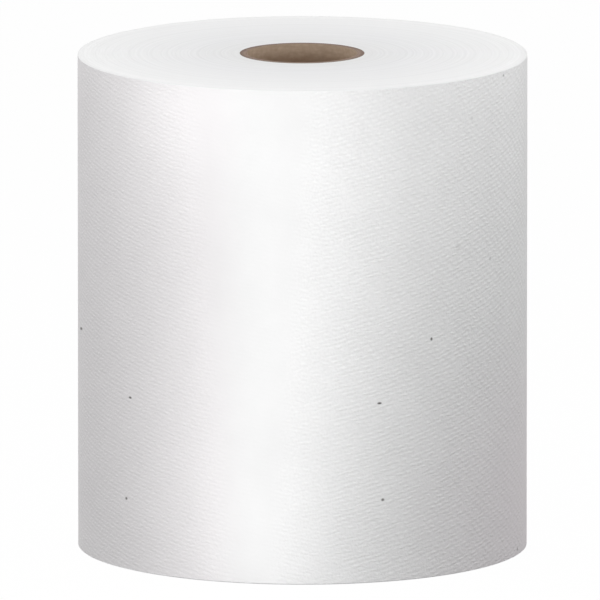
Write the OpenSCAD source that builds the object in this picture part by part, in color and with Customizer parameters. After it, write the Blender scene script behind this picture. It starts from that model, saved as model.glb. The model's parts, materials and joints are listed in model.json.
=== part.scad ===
// Paper towel roll standing on its end, in millimetres.
// One paper web is wound on a cardboard tube, and both are sawn off flush at the two ends.
// The origin is on the axis of the tube, in the plane that the roll stands on.

/* [Roll] */
// Width of the paper web, which is the height of the standing roll
roll_h = 200; // [120:1:260]
// Diameter over the outermost turn
roll_d = 181; // [140:1:230]

/* [Winding] */
// Radial spacing of the turns that show on the ends, each one a band of many thin sheets
turn_pitch = 7.5; // [4:0.5:15]
// Width of the line between two such turns
turn_line_w = 0.4; // [0.2:0.05:0.6]
// Depth of that line below the sawn end
turn_line_depth = 0.35; // [0.1:0.05:0.8]
// How far the free end of the web stands above the turn that it lies on
tail_step = 0.6; // [0.4:0.1:1.5]
// Direction of the free end, anticlockwise from +X, so that it lies at the back
tail_angle = 115; // [0:5:355]

/* [Core] */
// Bore of the cardboard tube
core_bore_d = 44.5; // [38:0.5:60]
// Wall of the tube
core_wall = 2.75; // [1:0.25:4]

/* [Hidden] */
$fn = 180;

// How far a cutting solid runs past the face that it cuts
over = 1;

core_r = core_bore_d / 2 + core_wall;
roll_r = roll_d / 2;

// The winding is a spiral of half turns. Half turn k runs from crossing k to crossing k + 1, where
// a crossing is the distance from the axis at which the spiral cuts the line through the free end.
// Crossing 0 is the top of the free end, and crossing 2 lies one turn further in, just below it.
LAP = 2;
line_end = roll_r - tail_step;
line_start = core_r - turn_line_w;
half_turns = round((line_end - line_start) / (turn_pitch / 2));
half_pitch = (line_end - line_start) / half_turns;

function crossing(k) =
    k <= LAP ? roll_r - tail_step * k / LAP
             : line_end - (k - LAP) * half_pitch;

// Half turns meet with a common tangent, because each is centred midway between its two crossings
function half_r(k) = (crossing(k) + crossing(k + 1)) / 2;
function half_centre(k) = (k % 2 == 0 ? -1 : 1) * (crossing(k) - crossing(k + 1)) / 2;

// Turns a flat section, drawn from the axis of half turn k outwards, through that half turn
module sweep_half_turn(k) {
    translate([half_centre(k), 0, 0])
        rotate_extrude(angle = 180, start = k % 2 == 0 ? 0 : 180)
            children();
}

// The wound web as a solid body, with the step of its free end
module wound_body() {
    for (k = [0 : LAP - 1])
        sweep_half_turn(k) square([half_r(k), roll_h]);
}

// Section of the lines between the turns, for one half of the winding: a comb whose teeth are the
// vees, one at each radius given, joined clear of the sawn end
module line_comb(radii) {
    clear = turn_line_depth / 2;
    tooth = turn_line_w / 2 * (1 + clear / turn_line_depth);
    polygon([
        [core_r / 2, clear],
        for (r = radii) each [[r - tooth, clear], [r, -turn_line_depth], [r + tooth, clear]],
        [roll_r, clear],
        [roll_r, clear + over],
        [core_r / 2, clear + over]
    ]);
}

// The line between the turns at both ends, from below the free end inwards until it meets the core.
// Its even half turns share one centre and its odd ones another, so each half is swept at once.
module turn_lines() {
    for (side = [0, 1]) {
        radii = [for (k = [LAP + half_turns - 1 : -1 : LAP]) if (k % 2 == side) half_r(k)];
        sweep_half_turn(LAP + side) translate([0, roll_h]) line_comb(radii);
        sweep_half_turn(LAP + side) mirror([0, 1]) line_comb(radii);
    }
}

module towel_web() {
    color("whitesmoke")
        rotate(tail_angle - 180)
            difference() {
                wound_body();
                translate([0, 0, -over]) cylinder(r = core_r, h = roll_h + 2 * over);
                turn_lines();
            }
}

module cardboard_core() {
    color("rosybrown")
        difference() {
            cylinder(r = core_r, h = roll_h);
            translate([0, 0, -over]) cylinder(d = core_bore_d, h = roll_h + 2 * over);
        }
}

towel_web();
cardboard_core();
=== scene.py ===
import json
import math
import random

import bpy
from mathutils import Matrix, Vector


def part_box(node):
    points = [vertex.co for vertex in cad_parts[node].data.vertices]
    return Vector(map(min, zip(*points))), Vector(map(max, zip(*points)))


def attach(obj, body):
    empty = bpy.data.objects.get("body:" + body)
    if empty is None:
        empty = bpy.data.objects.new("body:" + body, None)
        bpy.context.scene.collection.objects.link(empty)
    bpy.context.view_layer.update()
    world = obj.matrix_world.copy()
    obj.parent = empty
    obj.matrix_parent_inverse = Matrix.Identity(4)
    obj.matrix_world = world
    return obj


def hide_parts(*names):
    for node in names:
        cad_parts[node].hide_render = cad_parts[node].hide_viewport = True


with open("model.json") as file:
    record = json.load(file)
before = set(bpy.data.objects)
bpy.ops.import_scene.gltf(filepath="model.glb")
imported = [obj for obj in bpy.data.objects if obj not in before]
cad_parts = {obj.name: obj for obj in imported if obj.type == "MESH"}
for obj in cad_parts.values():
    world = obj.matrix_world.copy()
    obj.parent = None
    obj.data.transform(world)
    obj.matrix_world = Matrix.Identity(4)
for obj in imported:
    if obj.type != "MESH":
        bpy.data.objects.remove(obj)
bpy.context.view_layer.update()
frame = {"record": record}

MM = 0.001
TURN = 2 * math.pi

# What the CAD settles: the web's height and radii, and the tube's wall
web_low, web_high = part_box("towel_web")
core_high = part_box("cardboard_core")[1]
bore_mount = next(m for m in frame["record"]["mounts"] if m["name"] == "core_bore")
ROLL_H = web_high[2] - web_low[2]
ROLL_R = max(web_high[0], web_high[1], -web_low[0], -web_low[1])
CORE_R = core_high[0]
BORE_R = bore_mount["dims"]["r_mm"] * MM

# The winding: the free end of the web at the back, and the turns seen on the sawn ends
TAIL_ANGLE = math.radians(115)
TAIL_STEP = 0.6 * MM
TURN_PITCH = 1.5 * MM
TURN_LINE_DEPTH = 0.1 * MM
TURN_WANDER = 0.06 * MM
WALL_BULGE = 0.12 * MM
WALL_SEED = 3.0

# How far the rims are rubbed round, and the share of a turn over which that begins at the free end
RUBBED_EDGE = 0.4 * MM
RUBBED_RUN_IN = 0.05

# The shares of a turn over which the line between the turns fades in at the core and out at the rim
LINE_FADE_IN = 0.25
LINE_FADE_OUT = 0.125

# The web's grid: on an end, each turn has a row on its line and one this share of a turn to either side
ROLL_SEGMENTS = 240
WALL_ROWS = 40
ROWS_PER_TURN = 3
LINE_SHARE = 0.22

# Points closer than this are one, and edges that turn by more than this stay sharp
WELD = 0.01 * MM
SHARP_ANGLE = math.radians(40)

# The tube: plies wound in a helix, whose seam shows inside the bore
PLY_WIDTH = 76 * MM
PLY_COUNT = 3
PLY_LINE_DEPTH = 0.08 * MM
SEAM_DEPTH = 0.15 * MM
SEAM_ANGLE = math.radians(-90)
SEAM_CROWDING = 0.75
CORE_SEGMENTS = 120
CORE_ROWS = 160
ROWS_PER_PLY = 3

# The imprint of the drying fabric on the paper, as crests that cross: how many of them meet a ring
# round the roll, minus where they rise to the right, and how far apart they are up the roll
SHALLOW_CRESTS = (63, 74)
SHALLOW_RISE = 1.86 * MM
STEEP_CRESTS = 120
STEEP_RISE = 3.66 * MM

# A band of the front left where the imprint is nearly flat and the paper is painted lighter as a painted
# highlight: its middle, how much wider it gets up the roll, how far from its middle the imprint starts
# and is whole, and how far back the band goes
BAND_X = -20.5 * MM
BAND_WIDENING = 0.07
BAND_FADE = (4 * MM, 15 * MM)
BAND_BACK_Y = -30 * MM

# Painted light: the paper is painted paler this close to a sawn end
PAINTED_END_LIGHT_MARGIN = 18 * MM

# Faint rosy casts: down the left, between these shares of the radius, and round a spot low on the right
LEFT_CAST = (-0.45, -0.2)
STAIN_BEARING = math.radians(82)
STAIN_HEIGHT = 15 * MM
STAIN_FADE = (5 * MM, 105 * MM)

# Dark specks of recycled fibre in the paper: direction from the front in degrees, height and width in
# mm, how many times wider than tall, and how dark
SPECKS = [
    (-80.3, 90.5, 3.4, 2.6, 1.0),
    (-78.9, 90.9, 2.7, 1.9, 1.0),
    (34.9, 96.8, 1.3, 0.8, 1.0),
    (-49.7, 70.2, 2.1, 2.0, 1.0),
    (20.0, 72.7, 2.1, 2.2, 1.0),
    (-51.3, 28.9, 1.7, 1.2, 1.0),
    (20.9, 33.5, 1.6, 1.2, 0.9),
    (73.0, 2.6, 1.6, 1.0, 0.6),
    (63.0, 197.8, 1.6, 1.4, 0.5),
    (43.6, 132.6, 3.0, 1.2, 0.12),
    (56.3, 125.1, 1.6, 1.0, 0.3),
    (48.6, 183.7, 1.6, 1.0, 0.15),
]
SPECK_SEED = 7
HIDDEN_SPECKS = 10

# The core board: the slant of its fibres, how far in from its mouth its painted shade starts and is
# whole, and how far out from the bore the painted shade on a cut end starts
FIBRE_SLANT = math.radians(-29)
BORE_SHADE_DEPTHS = (1 * MM, 8 * MM)
CUT_END_SHADE_FROM = 0.8 * MM

# The floor reaches far past the view, a hair below the roll
FLOOR_RADIUS = 4.0
FLOOR_GAP = 0.05 * MM

# The view: the photograph's frame, and the roll's place in it
FRAME_PX = 600
ROLL_WIDTH_PX = 450.8
ROLL_CENTRE_PX = (302.1, 298.7)
CAMERA_ELEVATION = math.radians(10.05)
CAMERA_LENS_MM = 1650
SENSOR_MM = 36

# The two kinds of node that are used most
MATH = "ShaderNodeMath"
VECTOR = "ShaderNodeVectorMath"


def linear(hex_colour):
    """Turns an sRGB hex colour into linear red, green, blue and an alpha of 1."""
    srgb = [int(hex_colour[i : i + 2], 16) / 255 for i in (1, 3, 5)]
    return [c / 12.92 if c <= 0.04045 else ((c + 0.055) / 1.055) ** 2.4 for c in srgb] + [1.0]


def add(tree, kind, inputs=(), **settings):
    """Adds a node. inputs gives its sockets in order, or by name, as values, sockets or nodes."""
    node = tree.nodes.new(kind)
    for name, value in settings.items():
        setattr(node, name, value)
    for name, value in inputs.items() if isinstance(inputs, dict) else enumerate(inputs):
        if isinstance(value, bpy.types.Node):
            value = value.outputs[0]
        if isinstance(value, bpy.types.NodeSocket):
            tree.links.new(value, node.inputs[name])
        else:
            node.inputs[name].default_value = value
    return node


# Geometry: each main piece is a grid that a Geometry Nodes tree rolls up by a rule


def new_tree(name, sizes):
    """A Geometry Nodes tree with one named input for each size, and its group input node."""
    tree = bpy.data.node_groups.new(name, "GeometryNodeTree")
    for size, value in sizes.items():
        kind = "NodeSocketInt" if isinstance(value, int) else "NodeSocketFloat"
        tree.interface.new_socket(name=size, in_out="INPUT", socket_type=kind)
    tree.interface.new_socket(name="Geometry", in_out="OUTPUT", socket_type="NodeSocketGeometry")
    return tree, tree.nodes.new("NodeGroupInput").outputs


def grid_rows(tree, rows, columns):
    """A grid of rows by columns of points, and the fields that give each point's row and column."""
    grid = add(tree, "GeometryNodeMeshGrid", [1.0, 1.0, rows, columns])
    index = add(tree, "GeometryNodeInputIndex")
    middle = add(tree, MATH, [index, 0.5], operation="ADD")
    row = add(tree, MATH, [add(tree, MATH, [middle, columns], operation="DIVIDE")], operation="FLOOR")
    passed = add(tree, MATH, [row, columns], operation="MULTIPLY")
    column = add(tree, MATH, [index, passed], operation="SUBTRACT")
    return grid, row, column


def rolled(tree, geometry, radius, angle, height):
    """Places the points at a radius, an angle and a height about the roll's axis."""
    x = add(tree, MATH, [radius, add(tree, MATH, [angle], operation="COSINE")], operation="MULTIPLY")
    y = add(tree, MATH, [radius, add(tree, MATH, [angle], operation="SINE")], operation="MULTIPLY")
    place = add(tree, "ShaderNodeCombineXYZ", [x, y, height])
    return add(tree, "GeometryNodeSetPosition", {"Geometry": geometry, "Position": place})


def how_level(tree):
    """How level a face lies: 0 on the wall and in the bore, and 1 on the sawn ends."""
    facing = add(tree, "ShaderNodeSeparateXYZ", [add(tree, "GeometryNodeInputNormal")])
    return add(tree, MATH, [facing.outputs[2]], operation="ABSOLUTE")


def finished(tree, geometry, first_material, second_material, second):
    """Welds, smooths all but the sharp edges, sets the first material everywhere and the second where
    it belongs, and ends the tree."""
    welded = add(tree, "GeometryNodeMergeByDistance", {"Geometry": geometry, "Distance": WELD})
    edge = add(tree, "GeometryNodeInputMeshEdgeAngle")
    sharp = add(tree, MATH, [edge, SHARP_ANGLE], operation="GREATER_THAN")
    smooth = add(tree, "GeometryNodeSetShadeSmooth", {"Geometry": welded, "Shade Smooth": True})
    creased = add(
        tree,
        "GeometryNodeSetShadeSmooth",
        {"Geometry": smooth, "Selection": sharp, "Shade Smooth": False},
        domain="EDGE",
    )
    real = add(tree, "GeometryNodeRealizeInstances", {"Geometry": creased})
    first = add(tree, "GeometryNodeSetMaterial", {"Geometry": real, "Material": first_material})
    last = add(
        tree,
        "GeometryNodeSetMaterial",
        {"Geometry": first, "Selection": second, "Material": second_material},
    )
    add(tree, "NodeGroupOutput", [last])


def made(name, tree, sizes, node):
    """Runs a tree with its sizes, keeps the result as a plain mesh, and has it stand for the CAD node."""
    draft = bpy.data.objects.new(name + "_draft", bpy.data.meshes.new(name + "_draft"))
    bpy.context.scene.collection.objects.link(draft)
    modifier = draft.modifiers.new(tree.name, "NODES")
    modifier.node_group = tree
    for item in tree.interface.items_tree:
        if item.in_out == "INPUT":
            modifier[item.identifier] = sizes[item.name]
    graph = bpy.context.evaluated_depsgraph_get()
    mesh = bpy.data.meshes.new_from_object(draft.evaluated_get(graph), depsgraph=graph)
    draft.modifiers.remove(modifier)
    bpy.data.objects.remove(draft)
    # The tree's mesh starts with an empty slot, before the two that are set
    mesh.materials.pop(index=0)
    mesh.name = name
    piece = bpy.data.objects.new(name, mesh)
    bpy.context.scene.collection.objects.link(piece)
    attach(piece, "root")
    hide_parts(node)


def wound_web(wall_paper, sawn_paper):
    """The web: one closed section, from the bore over the lower end, the wall and the upper end, rolled
    round the axis as a spiral, so that each row of the ends runs on into the next turn. Its rims are
    rubbed round, and its free end is a face of its own."""
    turns = round((ROLL_R - TAIL_STEP - CORE_R) / TURN_PITCH) + 1
    sizes = {
        "Height": ROLL_H,
        "Core Radius": CORE_R,
        "Turns": turns,
        "Turn Pitch": (ROLL_R - TAIL_STEP - CORE_R) / (turns - 1),
        "Tail Step": TAIL_STEP,
        "Line Depth": TURN_LINE_DEPTH,
        "Wander": TURN_WANDER,
        "Bulge": WALL_BULGE,
        "Rubbed Edge": RUBBED_EDGE,
        "Segments": ROLL_SEGMENTS,
        "Wall Rows": WALL_ROWS,
        "Seed": WALL_SEED,
    }
    tree, size = new_tree("wound_web", sizes)

    # The rows of the section: the rows of one end, the wall, the other end, and the first row again
    rim = add(tree, MATH, [size["Turns"], ROWS_PER_TURN], operation="MULTIPLY")
    both = add(tree, MATH, [rim, 2.0], operation="MULTIPLY")
    last = add(tree, MATH, [both, size["Wall Rows"]], operation="ADD")
    rows = add(tree, MATH, [last, 2.0], operation="ADD")
    columns = add(tree, MATH, [size["Segments"], 1.0], operation="ADD")
    grid, row, column = grid_rows(tree, rows, columns)
    around = add(tree, MATH, [column, size["Segments"]], operation="DIVIDE")

    # How far up the wall a row is, from 0 on the lower end, with the row that closes the section, to 1
    # on the upper one
    past_rim = add(tree, MATH, [row, rim], operation="SUBTRACT")
    rise = add(tree, MATH, [past_rim, size["Wall Rows"]], operation="DIVIDE", use_clamp=True)
    past_last = add(tree, MATH, [last, 0.5], operation="ADD")
    not_closing = add(tree, MATH, [row, past_last], operation="LESS_THAN")
    rise = add(tree, MATH, [rise, not_closing], operation="MULTIPLY")

    # Which row of an end it is, counted from the core, and so how many turns out. The tenth of a row
    # keeps the division from ending just under a whole number.
    back = add(tree, MATH, [last, row], operation="SUBTRACT")
    nearer = add(tree, MATH, [row, back], operation="MINIMUM")
    nearer = add(tree, MATH, [nearer, 0.0], operation="MAXIMUM")
    end_row = add(tree, MATH, [nearer, rim], operation="MINIMUM")
    past_row = add(tree, MATH, [end_row, 0.1], operation="ADD")
    turn = add(tree, MATH, [past_row, ROWS_PER_TURN], operation="DIVIDE")
    turn = add(tree, MATH, [turn], operation="FLOOR")
    turn_row = add(tree, MATH, [turn, ROWS_PER_TURN], operation="MULTIPLY")
    step = add(tree, MATH, [end_row, turn_row], operation="SUBTRACT")
    on_line = add(tree, MATH, [step, 0.5], operation="LESS_THAN")
    land_step = add(tree, MATH, [step, 1 - 2 * LINE_SHARE], operation="MULTIPLY")
    off_line = add(tree, MATH, [step, 1.0], operation="MINIMUM")
    part = add(tree, MATH, [off_line, 3 * LINE_SHARE - 1, land_step], operation="MULTIPLY_ADD")
    outward = add(tree, MATH, [turn, part], operation="ADD")
    before = add(tree, MATH, [outward, 1.0], operation="SUBTRACT")
    wound = add(tree, MATH, [before, around], operation="ADD")
    winding = (grid, {"wound": wound, "around": around, "rise": rise, "line": on_line})

    # The free end of the web is a face of its own, across the last turn
    end_rows = add(tree, MATH, [size["Wall Rows"], 1.0], operation="ADD")
    end_grid, end_row, end_step = grid_rows(tree, end_rows, ROWS_PER_TURN + 1)
    end_rise = add(tree, MATH, [end_row, size["Wall Rows"]], operation="DIVIDE")
    end_land = add(tree, MATH, [end_step, 1 - 2 * LINE_SHARE], operation="MULTIPLY")
    end_off = add(tree, MATH, [end_step, 1.0], operation="MINIMUM")
    end_part = add(
        tree, MATH, [end_off, 3 * LINE_SHARE - 1, end_land], operation="MULTIPLY_ADD", use_clamp=True
    )
    last_turn = add(tree, MATH, [size["Turns"], 1.0], operation="SUBTRACT")
    end_wound = add(tree, MATH, [last_turn, end_part], operation="ADD")
    free_end = (end_grid, {"wound": end_wound, "around": 1.0, "rise": end_rise, "line": 0.0})

    # Both carry the same four attributes, and one rule places all their points
    faces = []
    for points, fields in (winding, free_end):
        for name, field in fields.items():
            points = add(
                tree,
                "GeometryNodeStoreNamedAttribute",
                {"Geometry": points, "Name": name, "Value": field},
                data_type="FLOAT",
                domain="POINT",
            )
        faces.append(points)
    join = add(tree, "GeometryNodeJoinGeometry", [add(tree, "GeometryNodeFlipFaces", [faces[0]])])
    tree.links.new(faces[1].outputs[0], join.inputs[0])
    wound, around, rise, line = [
        add(tree, "GeometryNodeInputNamedAttribute", [name], data_type="FLOAT")
        for name in ("wound", "around", "rise", "line")
    ]

    # The spiral: a steady pitch, and then the one thin turn that ends in the free end
    steady = add(tree, MATH, [wound, last_turn], operation="MINIMUM")
    steady = add(tree, MATH, [steady, 0.0], operation="MAXIMUM")
    thin = add(tree, MATH, [wound, last_turn], operation="SUBTRACT", use_clamp=True)
    radius = add(tree, MATH, [steady, size["Turn Pitch"], size["Core Radius"]], operation="MULTIPLY_ADD")
    radius = add(tree, MATH, [thin, size["Tail Step"], radius], operation="MULTIPLY_ADD")
    angle = add(tree, MATH, [around, TURN, TAIL_ANGLE], operation="MULTIPLY_ADD")

    # The rims are rubbed round a little, except where they run in under the free end
    rim_radius = add(
        tree, MATH, [last_turn, size["Turn Pitch"], size["Core Radius"]], operation="MULTIPLY_ADD"
    )
    rim_radius = add(tree, MATH, [around, size["Tail Step"], rim_radius], operation="MULTIPLY_ADD")
    from_rim = add(tree, MATH, [rim_radius, radius], operation="SUBTRACT")
    run_in = add(tree, MATH, [around, 1 / RUBBED_RUN_IN], operation="MULTIPLY", use_clamp=True)
    rubbed = add(tree, MATH, [run_in, size["Rubbed Edge"]], operation="MULTIPLY")
    rubbed = add(tree, MATH, [rubbed, from_rim], operation="SUBTRACT")
    rubbed = add(tree, MATH, [rubbed, 0.0], operation="MAXIMUM")
    from_middle = add(tree, MATH, [rise, 0.5], operation="SUBTRACT")
    from_middle = add(tree, MATH, [from_middle], operation="ABSOLUTE")
    on_end = add(tree, MATH, [from_middle, 0.499], operation="GREATER_THAN")
    rubbed = add(tree, MATH, [rubbed, on_end], operation="MULTIPLY")

    # The wall is a little uneven, more slowly than the eye finds
    east = add(tree, MATH, [angle], operation="COSINE")
    north = add(tree, MATH, [angle], operation="SINE")
    place = add(tree, "ShaderNodeCombineXYZ", [east, north, rise])
    slow = add(
        tree,
        "ShaderNodeTexNoise",
        {"Vector": place, "W": size["Seed"], "Scale": 2.0, "Detail": 1.0},
        noise_dimensions="4D",
    )
    uneven = add(tree, MATH, [slow, 0.5], operation="SUBTRACT")
    outer_turn = add(tree, MATH, [size["Turns"], 2.0], operation="SUBTRACT")
    near_wall = add(tree, MATH, [wound, outer_turn], operation="SUBTRACT", use_clamp=True)
    bulge = add(tree, MATH, [uneven, size["Bulge"]], operation="MULTIPLY")
    radius = add(tree, MATH, [bulge, near_wall, radius], operation="MULTIPLY_ADD")

    # The lines between the turns, and turns that stand a hair lower than others, fade at core and rim
    fade_in = add(tree, MATH, [wound, 1 / LINE_FADE_IN], operation="MULTIPLY", use_clamp=True)
    to_rim = add(tree, MATH, [last_turn, wound], operation="SUBTRACT")
    fade_out = add(tree, MATH, [to_rim, 1 / LINE_FADE_OUT], operation="MULTIPLY", use_clamp=True)
    fade = add(tree, MATH, [fade_in, fade_out], operation="MULTIPLY")
    level = add(
        tree, "ShaderNodeTexNoise", {"W": wound, "Scale": 0.9, "Detail": 2.0}, noise_dimensions="1D"
    )
    lower = add(tree, MATH, [level, size["Wander"]], operation="MULTIPLY")
    sunk = add(tree, MATH, [line, size["Line Depth"], lower], operation="MULTIPLY_ADD")
    sunk = add(tree, MATH, [sunk, fade, rubbed], operation="MULTIPLY_ADD")
    inward = add(tree, MATH, [rise, -2.0, 1.0], operation="MULTIPLY_ADD")
    full = add(tree, MATH, [rise, size["Height"]], operation="MULTIPLY")
    height = add(tree, MATH, [sunk, inward, full], operation="MULTIPLY_ADD")

    shaped = rolled(tree, join, radius, angle, height)
    is_wall = add(tree, MATH, [how_level(tree), 0.5], operation="LESS_THAN")
    finished(tree, shaped, sawn_paper, wall_paper, is_wall)
    made("wound_towel_web", tree, sizes, "towel_web")


def wound_tube(board, cut_board):
    """The tube: its closed section is turned round the axis in the helix of its plies, so that the seam
    of the inner ply is one column of the grid."""
    spread = math.asin(PLY_WIDTH / (TURN * CORE_R))
    sizes = {
        "Height": ROLL_H,
        "Bore Radius": BORE_R,
        "Wall": CORE_R - BORE_R,
        "Helix Rise": TURN * CORE_R * math.tan(spread),
        "Seam Depth": SEAM_DEPTH,
        "Ply Line Depth": PLY_LINE_DEPTH,
        "Plies": PLY_COUNT,
        "Segments": CORE_SEGMENTS,
        "Rows": CORE_ROWS,
    }
    tree, size = new_tree("wound_tube", sizes)

    # The rows of the section: up the outside, in over the upper end, down the bore, out over the lower end
    end_rows = add(tree, MATH, [size["Plies"], ROWS_PER_PLY], operation="MULTIPLY")
    corner_1 = size["Rows"]
    corner_2 = add(tree, MATH, [corner_1, end_rows], operation="ADD")
    corner_3 = add(tree, MATH, [corner_2, corner_1], operation="ADD")
    last = add(tree, MATH, [corner_3, end_rows], operation="ADD")
    rows = add(tree, MATH, [last, 1.0], operation="ADD")
    columns = add(tree, MATH, [size["Segments"], 1.0], operation="ADD")
    grid, row, column = grid_rows(tree, rows, columns)

    # How far up the tube a row is, and how far across its wall from the bore, both from 0 to 1
    up = add(tree, MATH, [row, size["Rows"]], operation="DIVIDE", use_clamp=True)
    past_2 = add(tree, MATH, [row, corner_2], operation="SUBTRACT")
    down = add(tree, MATH, [past_2, size["Rows"]], operation="DIVIDE", use_clamp=True)
    rise = add(tree, MATH, [up, down], operation="SUBTRACT")
    past_1 = add(tree, MATH, [row, corner_1], operation="SUBTRACT")
    inward = add(tree, MATH, [past_1, end_rows], operation="DIVIDE", use_clamp=True)
    past_3 = add(tree, MATH, [row, corner_3], operation="SUBTRACT")
    outward = add(tree, MATH, [past_3, end_rows], operation="DIVIDE", use_clamp=True)
    across = add(tree, MATH, [outward, inward], operation="SUBTRACT")
    across = add(tree, MATH, [across, 1.0], operation="ADD")

    # The columns crowd together at the seam, which keeps it narrow
    around = add(tree, MATH, [column, size["Segments"]], operation="DIVIDE")
    full_angle = add(tree, MATH, [around, TURN], operation="MULTIPLY")
    crowd = add(tree, MATH, [full_angle], operation="SINE")
    crowded = add(tree, MATH, [crowd, -SEAM_CROWDING, full_angle], operation="MULTIPLY_ADD")
    climbed = add(tree, MATH, [rise, size["Height"]], operation="MULTIPLY")
    below = add(tree, MATH, [climbed, size["Height"]], operation="SUBTRACT")
    helix = add(tree, MATH, [below, size["Helix Rise"]], operation="DIVIDE")
    angle = add(tree, MATH, [helix, TURN, crowded], operation="MULTIPLY_ADD")
    angle = add(tree, MATH, [angle, SEAM_ANGLE], operation="ADD")
    half = add(tree, MATH, [around, 0.5], operation="SUBTRACT")
    edge = add(tree, MATH, [half], operation="ABSOLUTE")
    on_seam = add(tree, MATH, [edge, 0.5 - 0.25 / CORE_SEGMENTS], operation="GREATER_THAN")
    in_bore = add(tree, MATH, [across, 0.01], operation="LESS_THAN")
    seam = add(tree, MATH, [on_seam, in_bore], operation="MULTIPLY")
    radius = add(tree, MATH, [across, size["Wall"], size["Bore Radius"]], operation="MULTIPLY_ADD")
    radius = add(tree, MATH, [seam, size["Seam Depth"], radius], operation="MULTIPLY_ADD")

    # The lines on the cut ends lie a whole number of plies from the bore, but not on the wall's two faces
    ply = add(tree, MATH, [across, size["Plies"]], operation="MULTIPLY")
    nearest = add(tree, MATH, [ply], operation="ROUND")
    off_line = add(tree, MATH, [ply, nearest], operation="SUBTRACT")
    off_line = add(tree, MATH, [off_line], operation="ABSOLUTE")
    on_line = add(tree, MATH, [off_line, 0.1], operation="LESS_THAN")
    from_middle = add(tree, MATH, [across, 0.5], operation="SUBTRACT")
    from_middle = add(tree, MATH, [from_middle], operation="ABSOLUTE")
    inside = add(tree, MATH, [from_middle, 0.45], operation="LESS_THAN")
    line = add(tree, MATH, [on_line, inside], operation="MULTIPLY")
    sunk = add(tree, MATH, [line, size["Ply Line Depth"]], operation="MULTIPLY")
    inward_sign = add(tree, MATH, [rise, -2.0, 1.0], operation="MULTIPLY_ADD")
    height = add(tree, MATH, [sunk, inward_sign, climbed], operation="MULTIPLY_ADD")

    shaped = rolled(tree, add(tree, "GeometryNodeFlipFaces", [grid]), radius, angle, height)
    is_end = add(tree, MATH, [how_level(tree), 0.5], operation="GREATER_THAN")
    finished(tree, shaped, board, cut_board, is_end)
    made("wound_core_tube", tree, sizes, "cardboard_core")


# Materials


def new_material(name):
    """An empty material with its output, its shader and the Object coordinates it reads."""
    material = bpy.data.materials.new(name)
    material.use_nodes = True
    tree = material.node_tree
    tree.nodes.clear()
    shader = add(tree, "ShaderNodeBsdfPrincipled", {"IOR": 1.5})
    add(tree, "ShaderNodeOutputMaterial", [shader])
    place = add(tree, "ShaderNodeTexCoord").outputs["Object"]
    return material, tree, shader, place


def from_axis(tree, x, y):
    """How far a point is from the axis of the roll."""
    flat = add(tree, "ShaderNodeCombineXYZ", [x, y, 0.0])
    return add(tree, VECTOR, [flat], operation="LENGTH").outputs["Value"]


def from_end(tree, z):
    """How far a point is from the nearer end of the roll."""
    to_top = add(tree, MATH, [ROLL_H, z], operation="SUBTRACT")
    return add(tree, MATH, [z, to_top], operation="MINIMUM")


def flat_band(tree, x, y, z):
    """The share of the imprint that is left: little down the band of the front left, and all elsewhere."""
    aside = add(tree, MATH, [x, BAND_X], operation="SUBTRACT")
    aside = add(tree, MATH, [aside], operation="ABSOLUTE")
    aside = add(tree, MATH, [z, -BAND_WIDENING, aside], operation="MULTIPLY_ADD")
    behind = add(tree, MATH, [y, BAND_BACK_Y], operation="SUBTRACT")
    away = add(tree, MATH, [aside, behind], operation="MAXIMUM")
    return add(
        tree,
        "ShaderNodeMapRange",
        {"Value": away, "From Min": BAND_FADE[0], "From Max": BAND_FADE[1], "To Min": 0.12, "To Max": 1.0},
        interpolation_type="SMOOTHSTEP",
    )


def fabric_crests(tree, place, side, around, z):
    """The knuckles of the drying fabric as a height from about -1 to 1. Shallow crests lean one way on
    the left and the other way on the right, and in patches, and steep ones of the opposite lean break
    them up into dashes."""
    # They waver slowly as paper stretched over a roll does, and quickly as the fabric's threads do
    slow = add(tree, "ShaderNodeTexNoise", {"Vector": place, "Scale": 0.1 / MM, "Detail": 1.0})
    quick = add(tree, "ShaderNodeTexNoise", {"Vector": place, "Scale": 0.45 / MM, "Detail": 1.0})
    waver = add(tree, MATH, [quick, 3.4], operation="MULTIPLY")
    waver = add(tree, MATH, [slow, 6.0, waver], operation="MULTIPLY_ADD")

    patches = add(tree, "ShaderNodeTexNoise", {"Vector": place, "Scale": 0.14 / MM, "Detail": 1.0})
    patchy = add(tree, MATH, [patches, 2.0, -0.5], operation="MULTIPLY_ADD")
    right = add(tree, MATH, [side, 3.0, patchy], operation="MULTIPLY_ADD", use_clamp=True)
    left = add(tree, MATH, [1.0, right], operation="SUBTRACT")
    steep = add(tree, MATH, [side, right], operation="MULTIPLY")
    steep = add(tree, MATH, [steep, 0.35, 0.18], operation="MULTIPLY_ADD")
    crests = 0.0
    for lean, shallow, weight in ((1, SHALLOW_CRESTS[0], left), (-1, SHALLOW_CRESTS[1], right)):
        waves = []
        for count, rise in ((lean * shallow, SHALLOW_RISE), (-lean * STEEP_CRESTS, STEEP_RISE)):
            climbing = add(tree, MATH, [z, TURN / rise, waver], operation="MULTIPLY_ADD")
            phase = add(tree, MATH, [around, count, climbing], operation="MULTIPLY_ADD")
            waves.append(add(tree, MATH, [phase], operation="SINE"))
        broken = add(tree, MATH, [waves[1], 0.35, 0.65], operation="MULTIPLY_ADD")
        dash = add(tree, MATH, [waves[0], broken], operation="MULTIPLY")
        dash = add(tree, MATH, [waves[1], steep, dash], operation="MULTIPLY_ADD")
        crests = add(tree, MATH, [dash, weight, crests], operation="MULTIPLY_ADD")
    return crests


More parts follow.
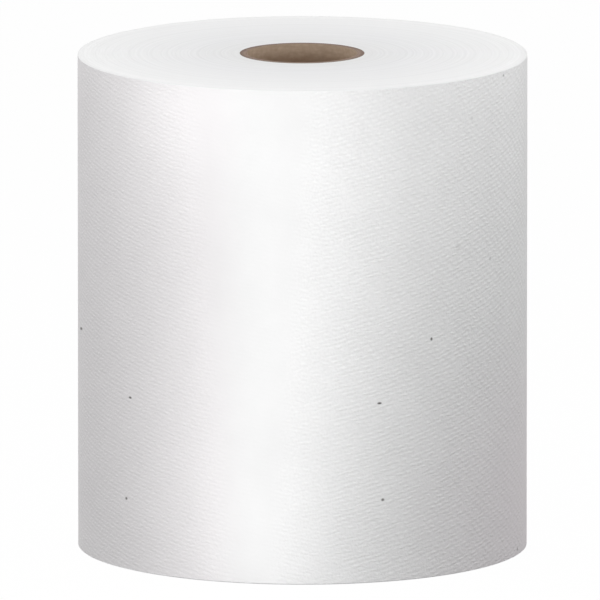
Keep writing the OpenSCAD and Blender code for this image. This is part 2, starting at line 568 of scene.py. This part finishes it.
def print_depth(tree, place, side, z):
    """How deep the fabric has printed: some dashes deep and some hardly, and deeper on the right, round
    the sides and low down."""
    print_at = add(tree, VECTOR, [place, (0.3 / MM, 0.3 / MM, 0.6 / MM)], operation="MULTIPLY")
    noise = add(tree, "ShaderNodeTexNoise", {"Vector": print_at, "Scale": 1.0, "Detail": 2.0})
    printed = add(tree, MATH, [noise, 5.0, -1.75], operation="MULTIPLY_ADD", use_clamp=True)
    rightward = add(
        tree,
        "ShaderNodeMapRange",
        {"Value": side, "From Min": -0.15, "From Max": 0.15, "To Min": 0.84, "To Max": 1.34},
        interpolation_type="SMOOTHSTEP",
    )
    sideways = add(tree, MATH, [side, side], operation="MULTIPLY")
    sideways = add(tree, MATH, [sideways, 0.35, 0.88], operation="MULTIPLY_ADD")
    downward = add(tree, MATH, [z, -0.1 / ROLL_H, 1.12], operation="MULTIPLY_ADD")
    for share in (rightward, sideways, downward):
        printed = add(tree, MATH, [printed, share], operation="MULTIPLY")
    return printed


def rosy_cast(tree, place, side):
    """How strong the faint rosy cast is: low on the right, and weaker all down the left."""
    east, north = math.sin(STAIN_BEARING), -math.cos(STAIN_BEARING)
    stain_at = (ROLL_R * east, ROLL_R * north, STAIN_HEIGHT)
    away = add(tree, VECTOR, [place, stain_at], operation="DISTANCE").outputs["Value"]
    casts = []
    for value, (whole, gone), strength in ((away, STAIN_FADE, 0.55), (side, LEFT_CAST, 0.26)):
        cast = add(
            tree,
            "ShaderNodeMapRange",
            {"Value": value, "From Min": whole, "From Max": gone, "To Min": strength, "To Max": 0.0},
            interpolation_type="SMOOTHSTEP",
        )
        casts.append(cast)
    return add(tree, MATH, casts, operation="MAXIMUM")


def fibre_specks(tree, place):
    """How dark the specks are: those that the photograph shows, and a few like them round the back. Each
    is dark out to a quarter of its width from its middle, and is gone at six tenths of it."""
    draw = random.Random(SPECK_SEED)
    hidden = [
        (draw.uniform(95, 265), draw.uniform(8, 192), draw.uniform(1.2, 2.0), 1.5, draw.uniform(0.3, 1.0))
        for _ in range(HIDDEN_SPECKS)
    ]
    dark = 0.0
    for degrees, height, width, flatness, strength in SPECKS + hidden:
        bearing = math.radians(degrees)
        spot = (ROLL_R * math.sin(bearing), -ROLL_R * math.cos(bearing), flatness * height * MM)
        flattened = add(tree, VECTOR, [place, (1.0, 1.0, flatness)], operation="MULTIPLY")
        away = add(tree, VECTOR, [flattened, spot], operation="DISTANCE").outputs["Value"]
        depth = add(tree, MATH, [away, -3 / (width * MM), 1.8], operation="MULTIPLY_ADD", use_clamp=True)
        depth = add(tree, MATH, [depth, strength], operation="MULTIPLY")
        dark = add(tree, MATH, [depth, dark], operation="MAXIMUM")
    return dark


def creped_towel_paper():
    """White one-ply towel paper, through-air dried on a woven fabric: matt, with the fabric's knuckles
    printed in as dashes that cross and break off, and a fuzz of fibres between them. Its colour carries
    painted shade in the hollows of the dashes, a painted highlight down a band of the front left, and
    painted light near the sawn ends."""
    material, tree, shader, place = new_material("creped_towel_paper")
    x, y, z = add(tree, "ShaderNodeSeparateXYZ", [place]).outputs
    around = add(tree, MATH, [y, x], operation="ARCTAN2")
    side = add(tree, MATH, [x, 1 / ROLL_R], operation="MULTIPLY")
    band = flat_band(tree, x, y, z)

    printed = add(tree, MATH, [print_depth(tree, place, side, z), band], operation="MULTIPLY")
    crests = fabric_crests(tree, place, side, around, z)
    crests = add(tree, MATH, [crests, printed], operation="MULTIPLY")
    fibre = add(tree, "ShaderNodeTexNoise", {"Vector": place, "Scale": 1.1 / MM, "Detail": 3.0})
    fuzz = add(tree, MATH, [fibre, band], operation="MULTIPLY")
    relief = add(tree, MATH, [fuzz, 3.1, crests], operation="MULTIPLY_ADD")
    bump = add(tree, "ShaderNodeBump", {"Strength": 1.0, "Distance": 0.05 * MM, "Height": relief})

    # The crests are painted a little lighter than the hollows, as painted shade in the hollows of the
    # relief, and the smooth band is painted lighter as a painted highlight
    mottle = add(tree, "ShaderNodeTexNoise", {"Vector": place, "Scale": 0.05 / MM, "Detail": 3.0})
    tone = add(tree, MATH, [mottle, 0.5, -0.06], operation="MULTIPLY_ADD")
    tone = add(tree, MATH, [fuzz, 0.75, tone], operation="MULTIPLY_ADD")
    # Painted highlight: the paper in the smooth band is painted lighter
    smooth = add(tree, MATH, [1.0, band], operation="SUBTRACT")
    tone = add(tree, MATH, [smooth, 0.17, tone], operation="MULTIPLY_ADD")
    # Painted shade: the hollows between the crests are painted darker than the crests
    tone = add(tree, MATH, [crests, 0.25, tone], operation="MULTIPLY_ADD", use_clamp=True)
    # Painted light: the paper is painted paler near both sawn ends
    in_from_end = from_end(tree, z)
    pale = add(
        tree,
        "ShaderNodeMapRange",
        {"Value": in_from_end, "From Min": 0.0, "From Max": PAINTED_END_LIGHT_MARGIN, "To Min": 0.26, "To Max": 0.0},
        interpolation_type="SMOOTHSTEP",
    )

    # The colour of the hollows, with each of the others laid over it by its share
    colour = linear("#e7e7e7")
    for share, tint in (
        (tone, "#f9f9f9"),
        (pale, "#fdfdfd"),
        (rosy_cast(tree, place, side), "#f4ebef"),
        (fibre_specks(tree, place), "#5b5955"),
    ):
        mixed = add(
            tree, "ShaderNodeMix", {"Factor": share, "A": colour, "B": linear(tint)}, data_type="RGBA"
        )
        colour = mixed.outputs["Result"]
    tree.links.new(colour, shader.inputs["Base Color"])
    tree.links.new(bump.outputs[0], shader.inputs["Normal"])
    shader.inputs["Roughness"].default_value = 0.7
    return material


def sawn_paper_edges():
    """The sawn edges of the turns: matt, with hair-fine rings, painted a little greyer near the core as
    painted shade beside the tube, and painted lighter towards the rim as painted light."""
    material, tree, shader, place = new_material("sawn_paper_edges")
    x, y, _ = add(tree, "ShaderNodeSeparateXYZ", [place]).outputs
    radius = from_axis(tree, x, y)
    rings = add(
        tree,
        "ShaderNodeTexNoise",
        {"W": radius, "Scale": 0.8 / MM, "Detail": 2.0},
        noise_dimensions="1D",
    )
    fuzz = add(tree, "ShaderNodeTexNoise", {"Vector": place, "Scale": 0.7 / MM, "Detail": 3.0})
    relief = add(tree, MATH, [fuzz, 0.5, rings], operation="MULTIPLY_ADD")
    bump = add(tree, "ShaderNodeBump", {"Strength": 1.0, "Distance": 0.04 * MM, "Height": relief})
    # Painted shade and painted light: the sawn ends are painted greyer near the core and lighter towards
    # the rim
    outward = add(
        tree, "ShaderNodeMapRange", {"Value": radius, "From Min": CORE_R, "From Max": ROLL_R}
    )
    tone = add(tree, "ShaderNodeValToRGB", [outward])
    stops = tone.color_ramp.elements
    stops[0].position, stops[0].color = 0.0, linear("#e7e7e7")
    stops[1].position, stops[1].color = 1.0, linear("#f5f5f5")
    stops.new(0.3).color = linear("#ececed")
    ringed = add(
        tree,
        "ShaderNodeMix",
        {"Factor": rings, "A": linear("#f0f0f0"), "B": linear("#ffffff")},
        data_type="RGBA",
    )
    colour = add(
        tree,
        "ShaderNodeMix",
        {"Factor": 1.0, "A": tone.outputs[0], "B": ringed.outputs["Result"]},
        data_type="RGBA",
        blend_type="MULTIPLY",
    )
    tree.links.new(colour.outputs["Result"], shader.inputs["Base Color"])
    tree.links.new(bump.outputs[0], shader.inputs["Normal"])
    shader.inputs["Roughness"].default_value = 0.85
    return material


def core_board(name, pale, deep, inner, grain):
    """Uncoated grey-brown core board: dull, with long fibres laid along the ply and darker flecks. Painted
    shade makes it browner deeper inside the tube and darker at the outer edge of a cut end."""
    material, tree, shader, place = new_material(name)
    x, y, z = add(tree, "ShaderNodeSeparateXYZ", [place]).outputs
    around = add(tree, MATH, [y, x], operation="ARCTAN2")
    along = add(tree, MATH, [around, BORE_R], operation="MULTIPLY")
    fibres_at = add(tree, "ShaderNodeCombineXYZ", [along, z, 0.0])
    laid = add(
        tree,
        "ShaderNodeMapping",
        {"Vector": fibres_at, "Rotation": (0, 0, FIBRE_SLANT), "Scale": (0.25, 1.0, 1.0)},
    )
    fibres = add(tree, "ShaderNodeTexNoise", {"Vector": laid, "Scale": 0.9 / MM, "Detail": 4.0})
    flecks = add(tree, "ShaderNodeTexNoise", {"Vector": place, "Scale": 0.5 / MM, "Detail": 3.0})
    mixed = add(tree, MATH, [fibres, flecks], operation="MULTIPLY")
    tone = add(tree, "ShaderNodeMapRange", {"Value": mixed, "From Min": 0.1, "From Max": 0.42})
    colour = add(
        tree,
        "ShaderNodeMix",
        {"Factor": tone, "A": linear(deep), "B": linear(pale)},
        data_type="RGBA",
    ).outputs["Result"]
    # Painted shade: the board is painted browner deeper inside the bore, from a little way in from either
    # end
    inside = add(
        tree,
        "ShaderNodeMapRange",
        {"Value": from_end(tree, z), "From Min": BORE_SHADE_DEPTHS[0], "From Max": BORE_SHADE_DEPTHS[1]},
        interpolation_type="SMOOTHSTEP",
    )
    # Painted shade: the board is painted darker out towards the tube's outside, the dark outer edge of a
    # cut end beside the paper
    outward = add(
        tree,
        "ShaderNodeMapRange",
        {"Value": from_axis(tree, x, y), "From Min": BORE_R + CUT_END_SHADE_FROM, "From Max": CORE_R},
    )
    for share, tint in ((inside, inner), (outward, "#c2bab4")):
        colour = add(
            tree,
            "ShaderNodeMix",
            {"Factor": share, "A": colour, "B": linear(tint)},
            data_type="RGBA",
            blend_type="MULTIPLY",
        ).outputs["Result"]
    bump = add(tree, "ShaderNodeBump", {"Strength": 1.0, "Distance": grain, "Height": mixed})
    tree.links.new(colour, shader.inputs["Base Color"])
    tree.links.new(bump.outputs[0], shader.inputs["Normal"])
    shader.inputs["Roughness"].default_value = 0.85
    return material


# The stage, lights and camera


def seen_directly(tree):
    """1 for a ray from the camera, straight or by way of gloss or glass, and 0 for light on the roll."""
    path = add(tree, "ShaderNodeLightPath").outputs
    mirrored = add(tree, MATH, [path["Is Glossy Ray"], path["Is Transmission Ray"]], operation="MAXIMUM")
    return add(tree, MATH, [path["Is Camera Ray"], mirrored], operation="MAXIMUM")


def white_floor():
    """A wide matt floor. The camera sees it as nearly all glow, so that it is white, with just enough of
    the matt left in it for the roll's soft shadow."""
    material = bpy.data.materials.new("white_studio_floor")
    material.use_nodes = True
    tree = material.node_tree
    tree.nodes.clear()
    matt = add(tree, "ShaderNodeBsdfDiffuse", {"Color": linear("#b8b8b8")})
    glow = add(tree, "ShaderNodeEmission", {"Color": (1, 1, 1, 1), "Strength": 1.015})
    seen = add(tree, "ShaderNodeMixShader", [0.97, matt, glow])
    look = add(tree, "ShaderNodeMixShader", [seen_directly(tree), matt, seen])
    add(tree, "ShaderNodeOutputMaterial", [look])
    bpy.ops.mesh.primitive_circle_add(
        vertices=96, radius=FLOOR_RADIUS, fill_type="NGON", location=(0, 0, -FLOOR_GAP)
    )
    floor = bpy.context.object
    floor.name = "studio_floor"
    floor.data.materials.append(material)


def studio_world(strength):
    """Even light from all round, and plain white where the camera sees past the floor."""
    world = bpy.data.worlds.new("studio_world")
    world.use_nodes = True
    tree = world.node_tree
    tree.nodes.clear()
    level = add(
        tree,
        "ShaderNodeMix",
        {"Factor": seen_directly(tree), "A": strength, "B": 1.0},
        data_type="FLOAT",
    )
    sky = add(tree, "ShaderNodeBackground", {"Color": (1, 1, 1, 1), "Strength": level})
    add(tree, "ShaderNodeOutputWorld", [sky])
    bpy.context.scene.world = world


def softbox(name, bearing, elevation, distance, width, height, watts):
    """A soft lamp that faces the middle of the roll. Its bearing runs from the front towards the right."""
    data = bpy.data.lights.new(name, "AREA")
    data.shape = "RECTANGLE"
    data.size = width
    data.size_y = height
    data.energy = watts
    lamp = bpy.data.objects.new(name, data)
    bpy.context.scene.collection.objects.link(lamp)
    turn, tilt = math.radians(bearing), math.radians(elevation)
    lamp.location = (
        distance * math.cos(tilt) * math.sin(turn),
        -distance * math.cos(tilt) * math.cos(turn),
        ROLL_H / 2 + distance * math.sin(tilt),
    )
    lamp.rotation_euler = (math.pi / 2 - tilt, 0, turn)
    lamp.visible_camera = False


def photo_camera():
    """A long lens, as the photograph's outline has almost no perspective."""
    data = bpy.data.cameras.new("photo_camera")
    data.lens = CAMERA_LENS_MM
    data.sensor_width = SENSOR_MM
    data.clip_end = 100
    camera = bpy.data.objects.new("photo_camera", data)
    bpy.context.scene.collection.objects.link(camera)
    px = 2 * ROLL_R / ROLL_WIDTH_PX
    distance = FRAME_PX * px * CAMERA_LENS_MM / SENSOR_MM
    right = (FRAME_PX / 2 - ROLL_CENTRE_PX[0]) * px
    up = (ROLL_CENTRE_PX[1] - FRAME_PX / 2) * px
    cos_e, sin_e = math.cos(CAMERA_ELEVATION), math.sin(CAMERA_ELEVATION)
    camera.location = (
        right,
        -distance * cos_e + up * sin_e,
        ROLL_H / 2 + distance * sin_e + up * cos_e,
    )
    camera.rotation_euler = (math.pi / 2 - CAMERA_ELEVATION, 0, 0)
    bpy.context.scene.camera = camera


wound_web(creped_towel_paper(), sawn_paper_edges())
# The colour after the two grain colours of each board is the painted shade deep inside the bore; white
# leaves the cut ends without it
wound_tube(
    core_board("spiral_wound_core_board", "#cab49e", "#b59e88", "#c6bbb2", 0.03 * MM),
    core_board("cut_core_board", "#887363", "#786357", "#ffffff", 0.04 * MM),
)

white_floor()
studio_world(0.43)

# Name, bearing and elevation in degrees, distance, width and height in metres, and watts
for lamp in (
    ("front_key", -9, 25, 0.3, 0.05, 0.15, 0.113),
    ("front_edge_lamp", 1, 25.8, 0.2, 0.05, 0.03, 0.0256),
    ("left_rim_lamp", -33, 36.4, 0.16, 0.05, 0.02, 0.0042),
    ("near_front_lamp", -8, 0, 0.15, 0.03, 0.06, 0.0075),
    ("low_front_fill", -12, -22, 0.2, 0.05, 0.045, 0.0342),
    ("front_foot_lamp", -12, -36.4, 0.16, 0.03, 0.02, 0.0026),
    ("right_front_fill", 60, 30, 0.3, 0.06, 0.1, 0.104),
    ("left_high_softbox", -60, 50, 0.45, 0.2, 0.2, 0.357),
    ("right_high_softbox", 90, 50, 0.45, 0.2, 0.2, 0.220),
    ("left_rear_strip", -120, 17, 1.0, 0.2, 0.7, 1.32),
    ("back_softbox", 180, 60, 0.6, 0.3, 0.3, 0.836),
):
    softbox(*lamp)
photo_camera()
bpy.context.scene.view_settings.view_transform = "Standard"
